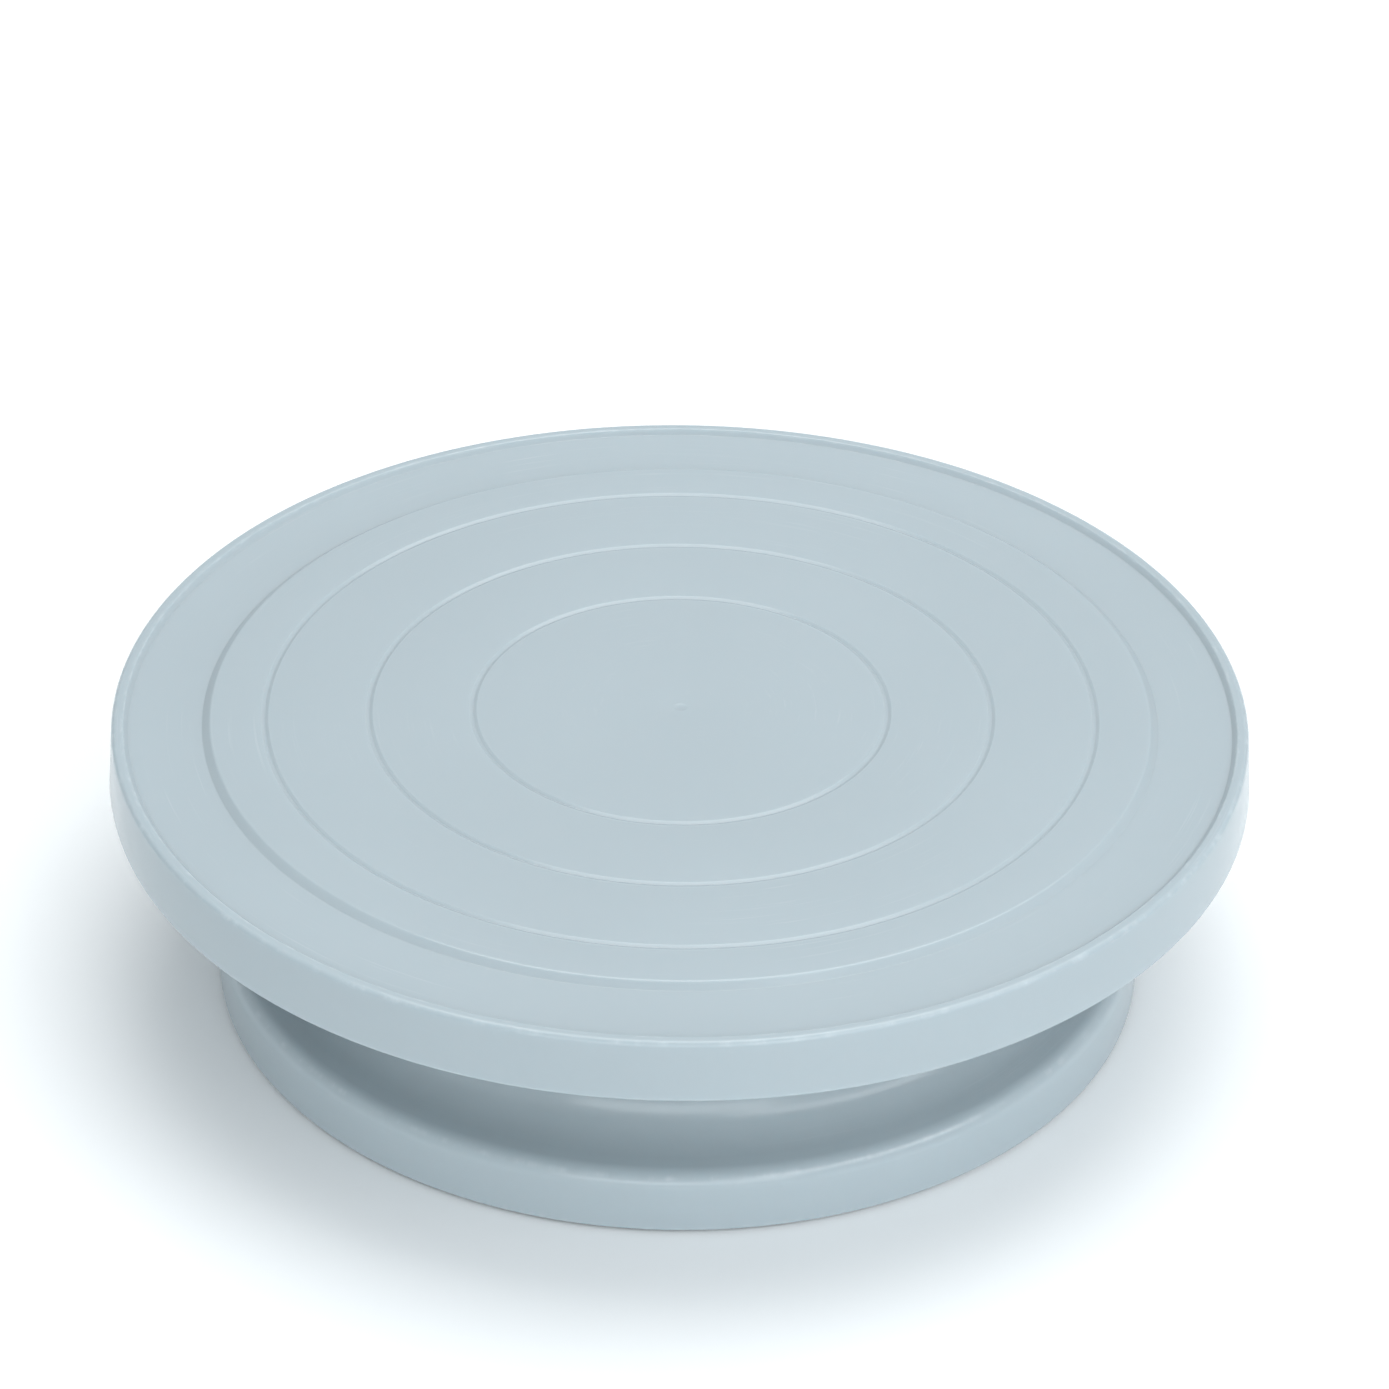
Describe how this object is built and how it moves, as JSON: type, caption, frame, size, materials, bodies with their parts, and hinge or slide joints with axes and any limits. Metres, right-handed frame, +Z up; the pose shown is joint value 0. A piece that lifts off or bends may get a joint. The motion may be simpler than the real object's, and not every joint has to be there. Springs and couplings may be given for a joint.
{
  "type": "cake turntable",
  "caption": "Round plate with a skirt, turning on a ball bearing over a flared hollow base with rubber feet.",
  "frame": {"origin": "on the table under the centre of the spindle, level with the soles of the feet", "axes": "+Z up along the axis the plate turns about, +X and +Y level, with one foot on +X"},
  "size_m": [0.28, 0.28, 0.073],
  "materials": {
    "plate_plastic": "satin moulded polypropylene, bluish white",
    "base_plastic": "satin moulded polypropylene, bluish white",
    "cap_plastic": "satin moulded polypropylene, bluish white",
    "race_steel": "ground and rolled bearing steel, lightly greased",
    "ball_steel": "polished bearing steel",
    "cage_nylon": "natural nylon",
    "spindle_steel": "turned steel",
    "bush_acetal": "natural acetal",
    "washer_steel": "zinc-plated steel",
    "spring_steel": "oiled spring steel",
    "screw_steel": "zinc-plated steel",
    "foot_rubber": "moulded grey rubber"
  },
  "bodies": {
    "base": {"base_shell": "base_plastic", "lower_race": "race_steel", "upper_bush": "bush_acetal", "lower_bush": "bush_acetal", "dust_cap": "cap_plastic", "foot_1": "foot_rubber", "foot_2": "foot_rubber", "foot_3": "foot_rubber", "foot_4": "foot_rubber", "foot_5": "foot_rubber", "foot_6": "foot_rubber"},
    "plate": {"turntable_plate": "plate_plastic", "upper_race": "race_steel", "spindle": "spindle_steel", "retaining_washer": "washer_steel", "lock_washer": "spring_steel", "retaining_screw": "screw_steel"},
    "cage": {"ball_cage": "cage_nylon"},
    "ball_01": {"ball_01": "ball_steel"},
    "ball_02": {"ball_02": "ball_steel"},
    "ball_03": {"ball_03": "ball_steel"},
    "ball_04": {"ball_04": "ball_steel"},
    "ball_05": {"ball_05": "ball_steel"},
    "ball_06": {"ball_06": "ball_steel"},
    "ball_07": {"ball_07": "ball_steel"},
    "ball_08": {"ball_08": "ball_steel"},
    "ball_09": {"ball_09": "ball_steel"},
    "ball_10": {"ball_10": "ball_steel"},
    "ball_11": {"ball_11": "ball_steel"},
    "ball_12": {"ball_12": "ball_steel"},
    "ball_13": {"ball_13": "ball_steel"},
    "ball_14": {"ball_14": "ball_steel"},
    "ball_15": {"ball_15": "ball_steel"},
    "ball_16": {"ball_16": "ball_steel"}
  },
  "joints": [
    {"name": "plate_spin", "type": "hinge", "parent": "base", "child": "plate", "pos_m": [0, 0, 0.0646], "axis": [0, 0, 1], "continuous": true},
    {"name": "cage_spin", "type": "hinge", "parent": "base", "child": "cage", "pos_m": [0, 0, 0.0646], "axis": [0, 0, 1], "continuous": true},
    {"name": "ball_01_roll", "type": "hinge", "parent": "cage", "child": "ball_01", "pos_m": [0.056, 0, 0.06472], "axis": [1, 0, 0], "continuous": true},
    {"name": "ball_02_roll", "type": "hinge", "parent": "cage", "child": "ball_02", "pos_m": [0.05174, 0.02143, 0.06472], "axis": [0.9239, 0.3827, 0], "continuous": true},
    {"name": "ball_03_roll", "type": "hinge", "parent": "cage", "child": "ball_03", "pos_m": [0.0396, 0.0396, 0.06472], "axis": [0.7071, 0.7071, 0], "continuous": true},
    {"name": "ball_04_roll", "type": "hinge", "parent": "cage", "child": "ball_04", "pos_m": [0.02143, 0.05174, 0.06472], "axis": [0.3827, 0.9239, 0], "continuous": true},
    {"name": "ball_05_roll", "type": "hinge", "parent": "cage", "child": "ball_05", "pos_m": [0, 0.056, 0.06472], "axis": [0, 1, 0], "continuous": true},
    {"name": "ball_06_roll", "type": "hinge", "parent": "cage", "child": "ball_06", "pos_m": [-0.02143, 0.05174, 0.06472], "axis": [-0.3827, 0.9239, 0], "continuous": true},
    {"name": "ball_07_roll", "type": "hinge", "parent": "cage", "child": "ball_07", "pos_m": [-0.0396, 0.0396, 0.06472], "axis": [-0.7071, 0.7071, 0], "continuous": true},
    {"name": "ball_08_roll", "type": "hinge", "parent": "cage", "child": "ball_08", "pos_m": [-0.05174, 0.02143, 0.06472], "axis": [-0.9239, 0.3827, 0], "continuous": true},
    {"name": "ball_09_roll", "type": "hinge", "parent": "cage", "child": "ball_09", "pos_m": [-0.056, 0, 0.06472], "axis": [-1, 0, 0], "continuous": true},
    {"name": "ball_10_roll", "type": "hinge", "parent": "cage", "child": "ball_10", "pos_m": [-0.05174, -0.02143, 0.06472], "axis": [-0.9239, -0.3827, 0], "continuous": true},
    {"name": "ball_11_roll", "type": "hinge", "parent": "cage", "child": "ball_11", "pos_m": [-0.0396, -0.0396, 0.06472], "axis": [-0.7071, -0.7071, 0], "continuous": true},
    {"name": "ball_12_roll", "type": "hinge", "parent": "cage", "child": "ball_12", "pos_m": [-0.02143, -0.05174, 0.06472], "axis": [-0.3827, -0.9239, 0], "continuous": true},
    {"name": "ball_13_roll", "type": "hinge", "parent": "cage", "child": "ball_13", "pos_m": [0, -0.056, 0.06472], "axis": [0, -1, 0], "continuous": true},
    {"name": "ball_14_roll", "type": "hinge", "parent": "cage", "child": "ball_14", "pos_m": [0.02143, -0.05174, 0.06472], "axis": [0.3827, -0.9239, 0], "continuous": true},
    {"name": "ball_15_roll", "type": "hinge", "parent": "cage", "child": "ball_15", "pos_m": [0.0396, -0.0396, 0.06472], "axis": [0.7071, -0.7071, 0], "continuous": true},
    {"name": "ball_16_roll", "type": "hinge", "parent": "cage", "child": "ball_16", "pos_m": [0.05174, -0.02143, 0.06472], "axis": [0.9239, -0.3827, 0], "continuous": true}
  ],
  "couplings": [
    {"joint": "cage_spin", "follows": "plate_spin", "ratio": 0.5},
    {"joint": "ball_01_roll", "follows": "plate_spin", "ratio": -9.3333},
    {"joint": "ball_02_roll", "follows": "plate_spin", "ratio": -9.3333},
    {"joint": "ball_03_roll", "follows": "plate_spin", "ratio": -9.3333},
    {"joint": "ball_04_roll", "follows": "plate_spin", "ratio": -9.3333},
    {"joint": "ball_05_roll", "follows": "plate_spin", "ratio": -9.3333},
    {"joint": "ball_06_roll", "follows": "plate_spin", "ratio": -9.3333},
    {"joint": "ball_07_roll", "follows": "plate_spin", "ratio": -9.3333},
    {"joint": "ball_08_roll", "follows": "plate_spin", "ratio": -9.3333},
    {"joint": "ball_09_roll", "follows": "plate_spin", "ratio": -9.3333},
    {"joint": "ball_10_roll", "follows": "plate_spin", "ratio": -9.3333},
    {"joint": "ball_11_roll", "follows": "plate_spin", "ratio": -9.3333},
    {"joint": "ball_12_roll", "follows": "plate_spin", "ratio": -9.3333},
    {"joint": "ball_13_roll", "follows": "plate_spin", "ratio": -9.3333},
    {"joint": "ball_14_roll", "follows": "plate_spin", "ratio": -9.3333},
    {"joint": "ball_15_roll", "follows": "plate_spin", "ratio": -9.3333},
    {"joint": "ball_16_roll", "follows": "plate_spin", "ratio": -9.3333}
  ]
}
